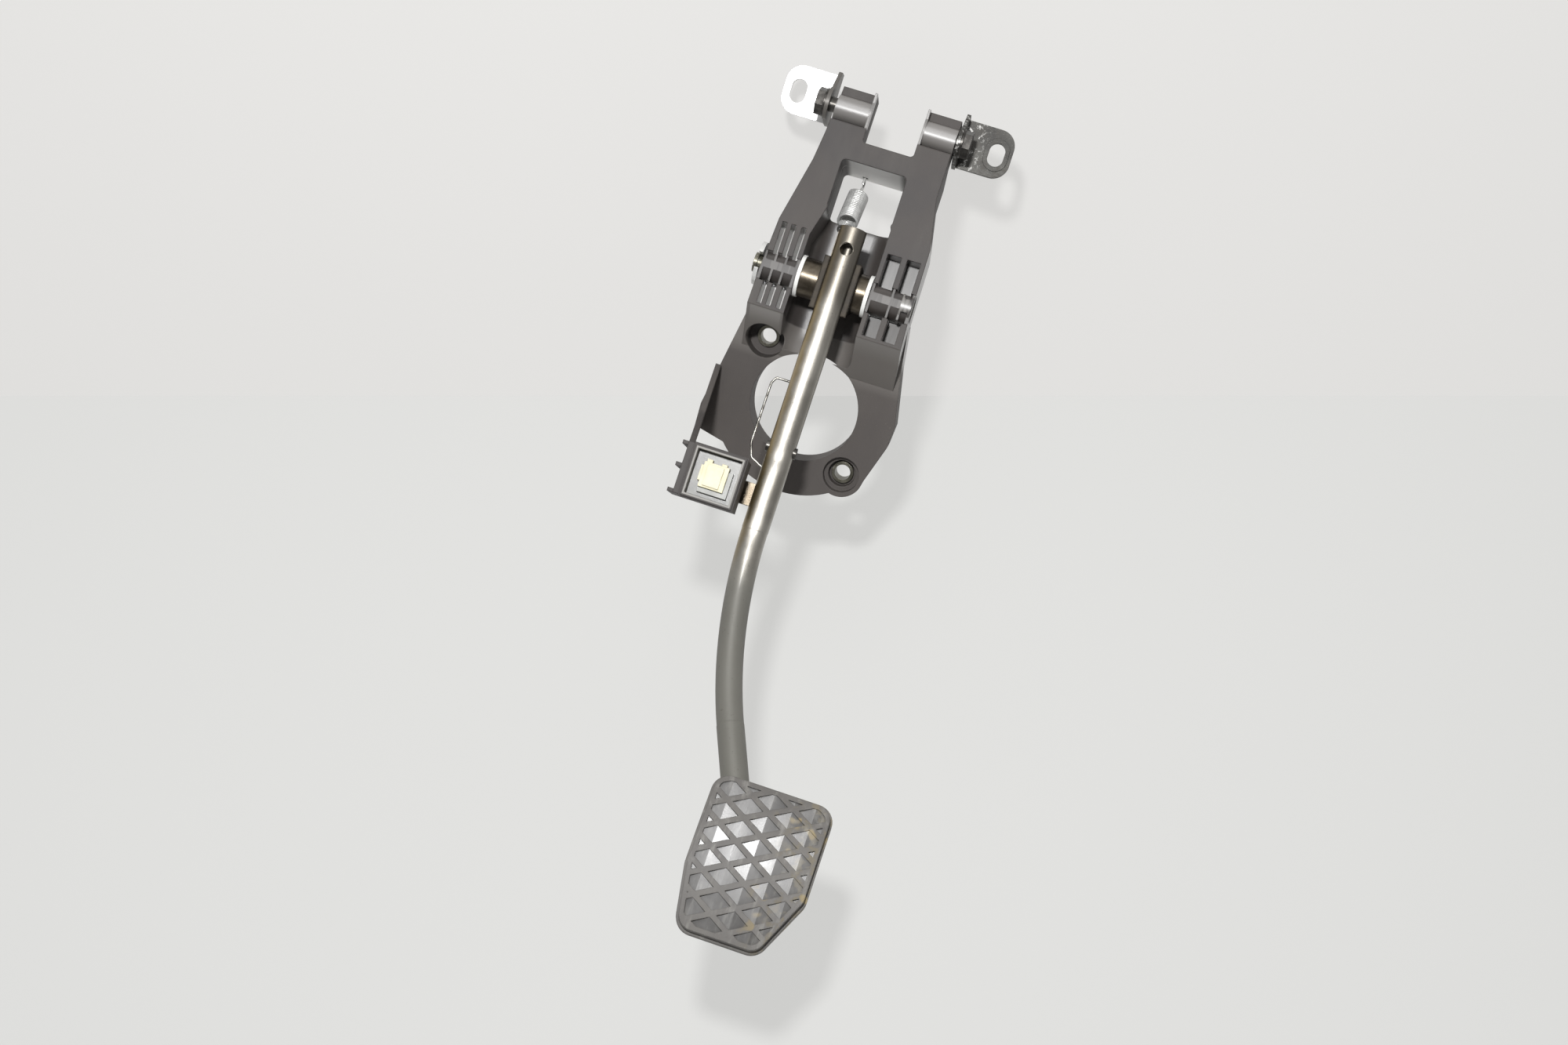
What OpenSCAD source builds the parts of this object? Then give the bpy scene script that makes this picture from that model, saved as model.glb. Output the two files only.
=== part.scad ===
// Brake pedal assembly for a car: moulded bracket, tube arm, rubber pad, return spring and switch.
// X points to the driver's right, Y away from the driver and Z up, in millimetres.
// The origin is the centre of the booster hole, on the seat face that meets the firewall.

/* [Bracket] */
// Tilt of the booster seat against the upright neck, in degrees
seat_tilt = 20; // [16:1:22]
// Thickness of the moulding around the booster hole
plate_t = 14.5; // [12:0.5:16]
// Radius of the round lower part of the bracket
plate_r = 49; // [47:0.5:52]
// Distance from the origin forward to the front of the neck
neck_front = 54; // [52:1:58]
// Depth of the neck and its legs
neck_depth = 34; // [32:1:36]
// Height of the top of the mounting ears
ear_top = 159; // [155:1:168]
// Depth of the mounting ears
ear_depth = 18; // [16:1:22]
// Wall thickness of the moulding
wall = 3; // [2.5:0.5:4]

/* [Booster seat] */
// Diameter of the booster hole
booster_d = 59; // [54:1:62]
// Diameter of the circle through both studs
stud_pcd = 84; // [83:0.5:88]
// Bore of the steel stud sleeves
stud_bore = 8.5; // [8:0.5:9]

/* [Pivot] */
// Height of the pivot above the booster hole
pivot_z = 56.7; // [55:0.1:58]
// Diameter of the pivot pin
pin_d = 10.5; // [9:0.5:11]
// Outer diameter of the pivot tube
tube_d = 21; // [20:0.5:22]
// Length of the pivot tube
tube_len = 35; // [33:1:37]

/* [Arm] */
// Outer diameter of the arm tube
arm_d = 14; // [13:0.5:15]
// Height of the upper end of the arm
arm_top = 85; // [83:1:88]
// Drop from the pivot to the start of the bend
bend_drop = 134; // [128:1:138]
// Radius of the bend
bend_r = 177; // [165:1:190]
// Angle of the bend in degrees
bend_a = 34; // [31:1:35]

/* [Pad] */
// Width of the rubber pad
pad_w = 61; // [56:1:68]
// Height of the rubber pad
pad_h = 79; // [74:1:84]
// Lean of the pad face, in degrees from upright
pad_lean = 18; // [14:1:20]
// Crown radius of the pad face
crown_r = 190; // [170:5:300]
// Width of one diamond of the tread
cell_w = 21; // [19:0.5:24]
// Height of one diamond of the tread
cell_h = 12; // [11:0.5:14]
// Width of the raised ribs of the tread
rib_w = 3.2; // [2.6:0.2:3.8]

/* [Return spring] */
// Outer diameter of the return spring
spring_d = 11.5; // [10:0.5:12]
// Wire of the return spring
spring_wire = 1.3; // [1.1:0.1:1.4]
// Number of close coils
coils = 17; // [14:1:18]

/* [Switch] */
// Width and height of the switch holder
holder_w = 27; // [26:1:29]
// Depth of the switch holder
holder_depth = 24; // [23:1:27]
// Travel of the switch plunger
plunger_travel = 4; // [2:0.5:4]

/* [Tabs] */
// Reach of a mounting tab to the side
tab_reach = 29; // [27:1:33]
// Height of a mounting tab
tab_h = 26.6; // [25:0.2:29]
// Thickness of the tab sheet
tab_t = 2; // [1.5:0.5:2.5]
// Length of the tab slot
slot_len = 13; // [11:0.5:14]
// Turn of the left tab about its bolt, in degrees
left_turn = 7; // [0:1:8]

/* [Hidden] */
$fn = 64;
// Overshoot of a cut past the face it opens.
over = 1;
// Gap kept between pieces that move past each other.
gap = 0.3;
// Radial clearance of a running fit.
run_clear = 0.05;

front_y = -neck_front;
back_y = front_y + neck_depth;
leg_low = 34;
leg_out = [-40.4, 41];
seat_reach = 56;

// Recesses around the two stud sleeves, above the seat's back face.
upper_floor = 5;
upper_recess_r = 10.4;
lower_floor = [10.5, 6];
lower_recess_r = [9.8, 7.4];

// Pivot, with a flanged bush at each end of the tube.
pivot_y = front_y + 8;
bush_flange = 2;
bush_len = 11;
bush_wall = 2.5;
tube_x = [-19.1, -19.1 + tube_len];
boss_r = pin_d / 2 + 3;
pin_end_x = leg_out[0] - 5;
clip_t = 2.2;
groove_x = leg_out[0] - 0.8;
groove_d = pin_d - 2;
pin_head_d = pin_d + 4.5;
pin_head_t = 2.5;
head_boss_d = 19.6;
head_boss_t = 5.8;

// The trough that the pivot tube turns in, and the window above it.
trough_x = [tube_x[0] - bush_flange - gap, tube_x[1] + bush_flange + gap];
trough_mid = (trough_x[0] + trough_x[1]) / 2;
trough_half = (trough_x[1] - trough_x[0]) / 2;
trough_round = 10;
trough_back = back_y - wall;
trough_low = 20;
window_x = [-17.6, 17.9];
window_z = [93.7, 121.2];
notch_z = 132;

// Slots in the front of the legs, above and below the pivot boss, and the bays around it.
left_slots = [[-36.8, -34.3], [-31.8, -29.3], [-26.3, -23.8]];
left_bays = [[-39.2, -34.9], [-33.7, -29.2], [-28, -23.2]];
right_slots = [[20.7, 28.2], [31.3, 38.6]];
right_bays = [[19.6, 29.2], [30.4, 35], [36.2, 39.8]];
bay_z = [pivot_z - 9.4, pivot_z + 6.8];
slot_depth = 14;

// Ears, from the notch between them outwards.
ear_in = [-10.4, 17.4];
ear_out = [-29.2, 35.8];

// Bolts through the ears.
ear_boss_r = 7;
ear_bolt_y = front_y + ear_boss_r;
ear_bolt_z = ear_top - 10.6;
bolt_d = 6;
bolt_flat = 13;
bolt_head = 5.3;
insert_d = 10;
insert_len = 14;
tab_gap = [4.2, 0.6];

// Arm, hung in front of the pivot tube.
arm_x = 0.7;
arm_wall = 2;
arm_y = pivot_y - tube_d / 2 - arm_d / 2 + 1.5;
bend_z = pivot_z - bend_drop;
bend_heading = -45;
foot_len = 65;
saddle_r = tube_d / 2 + 1.6;
saddle_t = 3;
pushrod_z = -34.8;
pushrod_d = 6;

// Bends of the cable clip beside the arm: how far out from the arm's skin, and how high.
clip_bends = [[0, 0.5], [9, 0.5], [10.7, -2.9], [10.9, -35.4], [8.5, -42.6], [0, -46.9]];

// Return spring between the lug on the arm and the bar of the window.
hook_r = 3.2;
lug_t = 2.5;
lug_x = -5.8;
lug_eye = [lug_x, arm_y + 13.5, arm_top - 1];
hook_top = [lug_x, back_y - 1.3, window_z[1] + wall / 2];
spring_rise = hook_top[2] - lug_eye[2];
spring_lean = atan2(hook_top[1] - lug_eye[1], spring_rise);
spring_len = norm(hook_top - lug_eye) - hook_r;
coil_pitch = spring_wire + 0.02;
coil_start = 9;

// Pad, with the steel plate inside the rubber.
pad_mid = [55, arm_y - 64, pivot_z - 288.3];
pad_gauge = 3;
pad_corner = 9;
pad_bottom = 23;
rubber_side = 3;
rubber_back = 2.6;
rubber_face = 3.6;
tread = 2.4;
skirt = 1.4;
pad_depth = rubber_back + pad_gauge + rubber_face + tread;
rubber_back_y = pad_depth - rubber_back;
pad_cut = [11, 4];

// Switch holder, left of the arm and in front of the tab that works the plunger.
holder_x = -24.9;
holder_z = -60.4;
holder_wall = 1.8;
switch_tab_t = 2.5;
switch_tab_y = arm_y + 1.5;
plunger_tip = switch_tab_y - gap;
holder_y1 = switch_tab_y - 4;
holder_y0 = holder_y1 - holder_depth;
switch_w = holder_w - 2 * holder_wall - 2 * gap;
neck_d = 12;
plunger_d = 5;
mouth_depth = 6;
body_y0 = holder_y0 + mouth_depth;
connector_w = 13;

// A box between two opposite corners.
module block(low, high) {
  translate(low) cube(high - low);
}

// A round bar along X.
module bar_x(x0, x1, y, z, d) {
  translate([x0, y, z]) rotate([0, 90, 0]) cylinder(h = x1 - x0, d = d);
}

// A side view, drawn as Y and Z, made solid from x0 to x1.
module side_slab(x0, x1) {
  translate([x0, 0, 0]) rotate([90, 0, 90]) linear_extrude(x1 - x0) children();
}

// A front view, drawn as X and Z, made solid from y0 to y1.
module front_slab(y0, y1) {
  translate([0, y1, 0]) rotate([90, 0, 0]) linear_extrude(y1 - y0) children();
}

// The same in the tilted booster seat, where depth grows from the seat face towards the driver.
module seat_slab(depth0, depth1) {
  rotate([seat_tilt, 0, 0]) front_slab(-depth1, -depth0) children();
}

// A stud place in the seat, the upper left one for side 1 and the lower right one for side -1.
module at_stud(side) {
  reach = side * stud_pcd / 2 * cos(45);
  rotate([seat_tilt, 0, 0]) translate([-reach, 0, reach]) rotate([90, 0, 0]) children();
}

module round_rect(w, h, r) {
  square([w, h - 2 * r], center = true);
  square([w - 2 * r, h], center = true);
  for (sx = [-1, 1], sy = [-1, 1]) {
    translate([sx * (w / 2 - r), sy * (h / 2 - r)]) circle(r = r);
  }
}

module slot_shape(w, len) {
  square([w, len - w], center = true);
  for (s = [-1, 1]) translate([0, s * (len - w) / 2]) circle(d = w);
}

// A convex outline, listed clockwise, grown by r with round corners.
function side_angle(points, i) =
  let (run = points[(i + 1) % len(points)] - points[i % len(points)]) atan2(run[1], run[0]) + 90;

module round_outline(points, r) {
  count = len(points);
  steps = 8;
  polygon([for (i = [0 : count - 1])
    let (from = side_angle(points, i + count - 1), raw = side_angle(points, i), to = raw > from ? raw - 360 : raw)
    for (k = [0 : steps])
      points[i] + r * [cos(from + (to - from) * k / steps), sin(from + (to - from) * k / steps)]]);
}

// Wire along a list of points, with round ends and corners.
module wire(points, d) {
  for (i = [1 : len(points) - 1]) {
    run = points[i] - points[i - 1];
    translate(points[i - 1]) rotate([0, acos(run[2] / norm(run)), atan2(run[1], run[0])])
      cylinder(h = norm(run), d = d);
  }
  for (end = points) translate(end) sphere(d = 1.12 * d);
}

// Front view of the neck with its two ears.
module neck_outline() {
  difference() {
    polygon([[-41.6, 14], [leg_out[0] - 0.6, 50], [leg_out[0] + 1.1, 81], [-32.2, 116], [-30.5, notch_z],
             [ear_out[0], ear_top], [ear_out[1], ear_top], [ear_out[1], 115], [leg_out[1], 88],
             [leg_out[1] + 0.6, 50], [43.6, 14]]);
    translate([(ear_in[0] + ear_in[1]) / 2, notch_z + ear_top / 2])
      round_rect(ear_in[1] - ear_in[0], ear_top, 2);
    translate([(window_x[0] + window_x[1]) / 2, (window_z[0] + window_z[1]) / 2])
      round_rect(window_x[1] - window_x[0], window_z[1] - window_z[0], 2.5);
  }
}

// Side view of the neck: upright front, sloping foot, and a back that clears the firewall.
module neck_side() {
  foot_z = 16;
  foot_y = -(plate_t - over + foot_z * sin(seat_tilt)) / cos(seat_tilt);
  polygon([[front_y, ear_top], [front_y, leg_low], [foot_y, foot_z], [foot_y + 7, leg_low - 4],
           [back_y, -back_y / tan(seat_tilt) + 0.5], [back_y, notch_z - 4],
           [front_y + ear_depth, notch_z + 4], [front_y + ear_depth, ear_top]]);
}

module seat_outline() {
  circle(r = plate_r);
  translate([stud_pcd / 2 * cos(45), -stud_pcd / 2 * cos(45)]) circle(r = 12.3);
  polygon([[-54.4, -28], [-54.4, -15], [-50.5, 5], [-43.4, 42], [-41.8, seat_reach], [41.8, seat_reach],
           [44.6, 33.8], [50.2, 3.5], [49.2, -8], [40.4, -35.4], [0, -20], [-33, -33]]);
}

// Open cells on the seat side, left between the hole's wall, the rim and the radial ribs.
module seat_cells() {
  cell_floor = plate_t - 4;
  difference() {
    seat_slab(-over, cell_floor) difference() {
      circle(r = plate_r - wall);
      circle(d = booster_d + 2 * wall);
      for (a = [0 : 15 : 345]) rotate(a + 7.5) translate([0, -1]) square([plate_r, 2]);
      for (s = [-1, 1]) translate([-s * stud_pcd / 2 * cos(45), s * stud_pcd / 2 * cos(45)]) circle(r = 12.3);
    }
    rotate([seat_tilt, 0, 0]) block([-60, -60, booster_d / 2 - 10], [60, 60, 90]);
  }
}

module leg_cuts() {
  web_z = pivot_z - 1.8;
  for (x = concat(left_slots, right_slots)) {
    block([x[0], front_y - over, bay_z[1] - over], [x[1], front_y + slot_depth, pivot_z + 23.3]);
    block([x[0], front_y - over, leg_low + 1.5], [x[1], front_y + slot_depth, bay_z[0] + over]);
  }
  for (x = concat(left_bays, right_bays)) difference() {
    block([x[0], front_y - over, bay_z[0]], [x[1], pivot_y + 2, bay_z[1]]);
    bar_x(x[0] - over, x[1] + over, pivot_y, pivot_z, 2 * boss_r);
    block([x[0] - over, front_y - 2 * over, web_z - 0.6], [x[1] + over, pivot_y, web_z + 0.6]);
  }
}

// Hollows in the back of the neck, split by cross ribs.
module back_cuts() {
  for (x = [[leg_out[0] + 4, window_x[0] - wall], [window_x[1] + wall, leg_out[1] - 4.5]]) {
    block([x[0], front_y + 5, 84.5], [x[1], back_y + over, 98]);
    block([x[0] + 3, front_y + 5, 100.5], [x[1] - 2, back_y + over, 113]);
  }
  block([window_x[0] + 3, front_y + wall, window_z[1] + wall], [window_x[1] - 3, back_y + over, notch_z - wall]);
  block([lug_x - 1.3, back_y - 6.6, window_z[1] - over], [lug_x + 1.3, back_y - 2.6, window_z[1] + wall + over]);
}

// The trough is round at its back and narrows into the window, which goes right through.
module trough() {
  shoulder_z = pivot_z + 17;
  intersection() {
    translate([trough_mid, 0, trough_low]) linear_extrude(window_z[0] + 4 - trough_low) {
      depth = trough_back - front_y + over;
      translate([-trough_half, front_y - over]) square([2 * trough_half, depth - trough_round]);
      translate([-trough_half + trough_round, front_y - over]) square([2 * (trough_half - trough_round), depth]);
      for (s = [-1, 1]) translate([s * (trough_half - trough_round), trough_back - trough_round])
        circle(r = trough_round);
    }
    front_slab(front_y - 2 * over, back_y)
      polygon([[trough_x[0] - over, trough_low - over], [trough_x[0] - over, shoulder_z],
               [window_x[0] + 0.4, window_z[0]], [window_x[0] + 0.4, window_z[0] + 6],
               [window_x[1] - 0.4, window_z[0] + 6], [window_x[1] - 0.4, window_z[0]],
               [trough_x[1] + over, window_z[0] - 3], [trough_x[1] + over, trough_low - over]]);
  }
}

// Sunk front of an ear, with the bolt boss standing in it.
module ear_recess(x_in, x_out) {
  side = sign(x_out - x_in);
  x0 = min(x_in + side * 1.3, x_out + side * over);
  x1 = max(x_in + side * 1.3, x_out + side * over);
  difference() {
    block([x0, front_y - over, ear_bolt_z - 9], [x1, front_y + 5, ear_top + over]);
    bar_x(x0 - over, x1 + over, ear_bolt_y, ear_bolt_z - 0.8, 2 * ear_boss_r);
  }
}

// Wall that carries the switch holder out from the left edge of the seat.
module holder_wall_plate() {
  root = [-53.4, -8, 0];
  toe_in = 8;
  run = holder_y0 - root[1];
  translate(root) rotate([0, 0, toe_in]) side_slab(0, wall)
    polygon([[4, -30], [0, 4], [-14, 2], [run + 8, holder_z + holder_w / 2 + 4],
             [run, holder_z + holder_w / 2], [run, holder_z - holder_w / 2], [run + holder_depth, holder_z - 8]]);
}

module switch_holder() {
  half = holder_w / 2;
  inner = half - holder_wall;
  difference() {
    union() {
      block([holder_x - half, holder_y0, holder_z - half], [holder_x + half, holder_y1, holder_z + half]);
      block([holder_x - half - 0.8, holder_y0 + 1.2, holder_z - half - 0.8],
            [holder_x + half + 0.8, holder_y0 + 3, holder_z + half + 0.8]);
      for (z = [holder_z + half - 2, holder_z, holder_z - half]) {
        block([holder_x - half - 7, holder_y0 + 2, z], [holder_x - half + over, holder_y1, z + 2]);
      }
    }
    block([holder_x - inner, holder_y0 - over, holder_z - inner],
          [holder_x + inner, holder_y1 - holder_wall, holder_z + inner]);
    translate([holder_x, holder_y1 + over, holder_z]) rotate([90, 0, 0])
      cylinder(h = holder_wall + 2 * over, d = neck_d);
  }
}

module pedal_bracket() {
  color([0.36, 0.35, 0.34]) {
    difference() {
      union() {
        intersection() {
          front_slab(front_y, back_y + 10) neck_outline();
          side_slab(1.5 * leg_out[0], 1.5 * leg_out[1]) neck_side();
        }
        seat_slab(0, plate_t) seat_outline();
        bar_x(leg_out[1] - head_boss_t, leg_out[1], pivot_y, pivot_z, head_boss_d);
        holder_wall_plate();
      }
      seat_slab(-over, 40) circle(d = booster_d);
      at_stud(1) {
        translate([0, 0, upper_floor]) cylinder(h = 30, r = upper_recess_r);
        translate([0, 0, -over]) cylinder(h = 10, d = stud_bore + 3.5);
      }
      at_stud(-1) {
        for (i = [0, 1]) translate([0, 0, lower_floor[i]]) cylinder(h = 10, r = lower_recess_r[i]);
        translate([0, 0, -over]) cylinder(h = 10, d = stud_bore + 3.5);
      }
      seat_cells();
      trough();
      leg_cuts();
      back_cuts();
      ear_recess(ear_in[0], ear_out[0]);
      ear_recess(ear_in[1], ear_out[1]);
      bar_x(ear_out[0] - over, ear_out[0] + insert_len, ear_bolt_y, ear_bolt_z, insert_d);
      bar_x(ear_out[1] - insert_len, ear_out[1] + over, ear_bolt_y, ear_bolt_z, insert_d);
      bar_x(leg_out[0] - 5, leg_out[1] + 5, pivot_y, pivot_z, pin_d);
      bar_x(leg_out[1] - pin_head_t, leg_out[1] + 5, pivot_y, pivot_z, pin_head_d);
    }
    switch_holder();
  }
}

// A tab for the right ear, with x counted outward from the ear.
module tab(clear) {
  bolt_hole = bolt_d + 0.6;
  back = ear_bolt_y + 19;
  mid_z = ear_bolt_z + 4.7;
  difference() {
    union() {
      side_slab(clear, clear + tab_t) {
        polygon([[back, mid_z + tab_h / 2 + 1], [back - 8, mid_z + tab_h / 2 + 1], [ear_bolt_y, ear_bolt_z + 8],
                 [ear_bolt_y, ear_bolt_z - 8], [back - 8, mid_z - tab_h / 2 - 1], [back, mid_z - tab_h / 2 - 1]]);
        translate([ear_bolt_y, ear_bolt_z]) circle(r = 8.5);
      }
      front_slab(back - tab_t, back) {
        translate([clear + tab_reach / 2, mid_z]) round_rect(tab_reach, tab_h, 9);
        translate([clear, mid_z - tab_h / 2]) square([tab_reach / 2, tab_h]);
      }
      front_slab(back - tab_t - 0.6, back) translate([clear + tab_reach - 8.3, mid_z - 0.7])
        slot_shape(slot_len, slot_len + 5);
    }
    bar_x(clear - over, clear + tab_t + over, ear_bolt_y, ear_bolt_z, bolt_hole);
    front_slab(back - 10, back + over) translate([clear + tab_reach - 8.3, mid_z - 0.7])
      slot_shape(8.5, slot_len);
  }
}

module tab_bolt(clear) {
  bar_x(-insert_len + 1, clear + tab_t, ear_bolt_y, ear_bolt_z, bolt_d);
  translate([clear + tab_t, ear_bolt_y, ear_bolt_z]) rotate([0, 90, 0]) {
    cylinder(h = bolt_head, d = bolt_flat / cos(30), $fn = 6);
    cylinder(h = 1.2, d = bolt_flat + 2.4);
  }
}

module ear_insert(clear) {
  difference() {
    union() {
      bar_x(-insert_len, 0, ear_bolt_y, ear_bolt_z, insert_d);
      bar_x(0, clear, ear_bolt_y, ear_bolt_z, insert_d - 2);
    }
    bar_x(-insert_len - over, clear + over, ear_bolt_y, ear_bolt_z, bolt_d);
  }
}

module left_mount_tab() {
  color([0.83, 0.83, 0.82]) translate([ear_out[0], 0, 0]) mirror([1, 0, 0])
    translate([0, ear_bolt_y, ear_bolt_z]) rotate([left_turn, 0, 0])
    translate([0, -ear_bolt_y, -ear_bolt_z]) tab(tab_gap[0]);
}

module right_mount_tab() {
  color([0.5, 0.49, 0.47]) translate([ear_out[1], 0, 0]) tab(tab_gap[1]);
}

module left_tab_bolt() {
  color([0.42, 0.41, 0.4]) translate([ear_out[0], 0, 0]) mirror([1, 0, 0]) tab_bolt(tab_gap[0]);
}

module right_tab_bolt() {
  color([0.42, 0.41, 0.4]) translate([ear_out[1], 0, 0]) tab_bolt(tab_gap[1]);
}

module left_ear_insert() {
  color([0.7, 0.7, 0.68]) translate([ear_out[0], 0, 0]) mirror([1, 0, 0]) ear_insert(tab_gap[0]);
}

module right_ear_insert() {
  color([0.7, 0.7, 0.68]) translate([ear_out[1], 0, 0]) ear_insert(tab_gap[1]);
}

module stud_sleeve(side, length) {
  at_stud(side) difference() {
    cylinder(h = length, d = stud_bore + 3.5);
    translate([0, 0, -over]) cylinder(h = length + 2 * over, d = stud_bore);
  }
}

module upper_stud_sleeve() {
  color([0.68, 0.67, 0.62]) stud_sleeve(1, 6.5);
}

module lower_stud_sleeve() {
  color([0.68, 0.67, 0.62]) stud_sleeve(-1, 8);
}

// Pin with a head sunk in the right leg and a groove for the clip at its left end.
module pivot_pin() {
  color([0.72, 0.71, 0.6]) difference() {
    union() {
      bar_x(pin_end_x, leg_out[1], pivot_y, pivot_z, pin_d);
      bar_x(leg_out[1] - pin_head_t, leg_out[1], pivot_y, pivot_z, pin_head_d);
    }
    difference() {
      bar_x(groove_x - clip_t, groove_x, pivot_y, pivot_z, pin_d + 2);
      bar_x(groove_x - clip_t - over, groove_x + over, pivot_y, pivot_z, groove_d);
    }
  }
}

// Spring clip in the groove, open towards the driver.
module pivot_clip() {
  color([0.8, 0.8, 0.78]) difference() {
    bar_x(groove_x - clip_t, groove_x, pivot_y, pivot_z, 23);
    bar_x(groove_x - clip_t - over, groove_x + over, pivot_y, pivot_z, groove_d);
    block([groove_x - clip_t - over, pivot_y - 20, pivot_z - groove_d / 2],
          [groove_x + over, pivot_y, pivot_z + groove_d / 2]);
  }
}

// Flanged bush, pressed into one end of the tube and turning on the pin.
module bush(x_end, side) {
  flange_x = x_end + side * bush_flange;
  inner_x = x_end - side * bush_len;
  difference() {
    union() {
      bar_x(min(x_end, flange_x), max(x_end, flange_x), pivot_y, pivot_z, tube_d + 1.4);
      bar_x(min(x_end, inner_x), max(x_end, inner_x), pivot_y, pivot_z, pin_d + 2 * bush_wall);
    }
    bar_x(min(inner_x, flange_x) - over, max(inner_x, flange_x) + over, pivot_y, pivot_z, pin_d + 2 * run_clear);
  }
}

module left_bush() {
  color([0.93, 0.93, 0.91]) bush(tube_x[0], -1);
}

module right_bush() {
  color([0.93, 0.93, 0.91]) bush(tube_x[1], 1);
}

module pivot_tube() {
  color([0.52, 0.5, 0.46]) difference() {
    bar_x(tube_x[0], tube_x[1], pivot_y, pivot_z, tube_d);
    bar_x(tube_x[0] - over, tube_x[1] + over, pivot_y, pivot_z, pin_d + 2 * bush_wall);
    translate([arm_x, arm_y, pivot_z - tube_d]) cylinder(h = 2 * tube_d, d = arm_d);
  }
}

// The arm's sweep: straight down, one bend where the tube draws in a little, then straight to the pad.
module arm_sweep(d, extra) {
  draw_in = 0.3;
  translate([arm_x, arm_y, bend_z]) rotate([0, 0, bend_heading]) {
    translate([0, 0, -over]) cylinder(h = arm_top - bend_z + extra + over, d = d);
    translate([bend_r, 0, 0]) {
      rotate([-90, 0, 0]) rotate([0, 0, 180 - bend_a]) rotate_extrude(angle = bend_a, $fn = 180)
        translate([bend_r, 0]) circle(d = d - draw_in);
      rotate([0, -bend_a, 0]) translate([-bend_r, 0, -foot_len - extra])
        cylinder(h = foot_len + extra + over, d = d);
    }
  }
}

module pedal_arm() {
  rivet_z = arm_top - 12;
  color([0.6, 0.58, 0.54]) difference() {
    arm_sweep(arm_d, 0);
    arm_sweep(arm_d - 2 * arm_wall, over);
    translate([arm_x, arm_y, rivet_z]) rotate([90, 0, 0]) cylinder(h = arm_d, d = 6.8);
    bar_x(arm_x - arm_d, arm_x + arm_d, arm_y, pushrod_z, pushrod_d);
    pad_frame() front_slab(-pad_depth, rubber_back_y) square([pad_w, pad_h], center = true);
  }
}

// Side plates that hold the arm against the pivot tube.
module saddle_plate(x0) {
  difference() {
    side_slab(x0, x0 + saddle_t) {
      translate([pivot_y, pivot_z]) circle(r = saddle_r);
      polygon([[pivot_y, pivot_z + saddle_r], [arm_y - 1, pivot_z + 11.5], [arm_y - 1, pivot_z - 17],
               [pivot_y, pivot_z - saddle_r]]);
    }
    bar_x(x0 - over, x0 + saddle_t + over, pivot_y, pivot_z, tube_d);
  }
}

module left_saddle_plate() {
  color([0.45, 0.42, 0.37]) saddle_plate(arm_x - arm_d / 2 - saddle_t);
}

module right_saddle_plate() {
  color([0.45, 0.42, 0.37]) saddle_plate(arm_x + arm_d / 2);
}

module spring_lug() {
  root_y = arm_y + 4;
  color([0.55, 0.53, 0.48]) difference() {
    side_slab(lug_x - lug_t / 2, lug_x + lug_t / 2) difference() {
      union() {
        translate([lug_eye[1], lug_eye[2]]) circle(r = 4.3);
        polygon([[root_y, arm_top - 2], [root_y, arm_top - 17], [lug_eye[1] + 3.2, lug_eye[2] - 3],
                 [lug_eye[1], lug_eye[2] + 4.3]]);
      }
      translate([lug_eye[1], lug_eye[2]]) circle(r = 2.2);
    }
    arm_sweep(arm_d, over);
  }
}

// Tab welded to the left of the arm; it works the plunger of the switch.
module switch_tab() {
  reach_x = holder_x - 9;
  top_z = holder_z + 5;
  color([0.45, 0.43, 0.39]) difference() {
    front_slab(switch_tab_y, switch_tab_y + switch_tab_t) {
      translate([(reach_x + arm_x) / 2, top_z - 6]) round_rect(arm_x - reach_x, 12, 3);
    }
    arm_sweep(arm_d, over);
  }
}

module pushrod_pin() {
  color([0.6, 0.59, 0.55]) {
    bar_x(arm_x - arm_d / 2 - 1, arm_x + arm_d / 2 + 1, arm_y, pushrod_z, pushrod_d);
  }
}

// Clip bent from square wire beside the arm, to hold a cable.
module wire_clip() {
  clip_d = 1.5;
  behind = 5;
  y = arm_y + behind;
  skin_x = arm_x - sqrt(pow(arm_d / 2, 2) - pow(behind - clip_d / 2, 2)) - clip_d / 2 - 0.07;
  path = [for (bend = clip_bends) [skin_x - bend[0], bend[1]]];
  color([0.78, 0.77, 0.72]) front_slab(y - clip_d / 2, y + clip_d / 2) {
    for (i = [1 : len(path) - 1]) {
      run = path[i] - path[i - 1];
      translate(path[i - 1]) rotate(atan2(run[1], run[0])) translate([0, -clip_d / 2]) square([norm(run), clip_d]);
    }
    for (bend = path) translate(bend) circle(d = clip_d + 0.2);
  }
}

// The pad's own frame: origin at the middle of its face, Y into the pad.
module pad_frame() {
  translate(pad_mid) rotate([-pad_lean, 0, 0]) children();
}

module pad_outline(inset) {
  x = pad_w / 2 - pad_corner;
  z = pad_h / 2 - pad_corner;
  round_outline([[-x, z], [x, z], [x, -z + pad_bottom], [x - pad_cut[0], -z], [-x + pad_cut[1], -z], [-x, -z + pad_bottom]],
                pad_corner - inset);
}

// A slab of the pad whose front is crowned; drop is how far the front lies behind the face.
module crowned(drop, back) {
  intersection() {
    front_slab(drop - over, back) children();
    translate([-pad_w, crown_r + drop, 0]) rotate([0, 90, 0]) cylinder(h = 2 * pad_w, r = crown_r, $fn = 180);
  }
}

module pad_plate() {
  color([0.4, 0.39, 0.37]) pad_frame()
    front_slab(rubber_back_y - pad_gauge, rubber_back_y) pad_outline(rubber_side + skirt);
}

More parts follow.
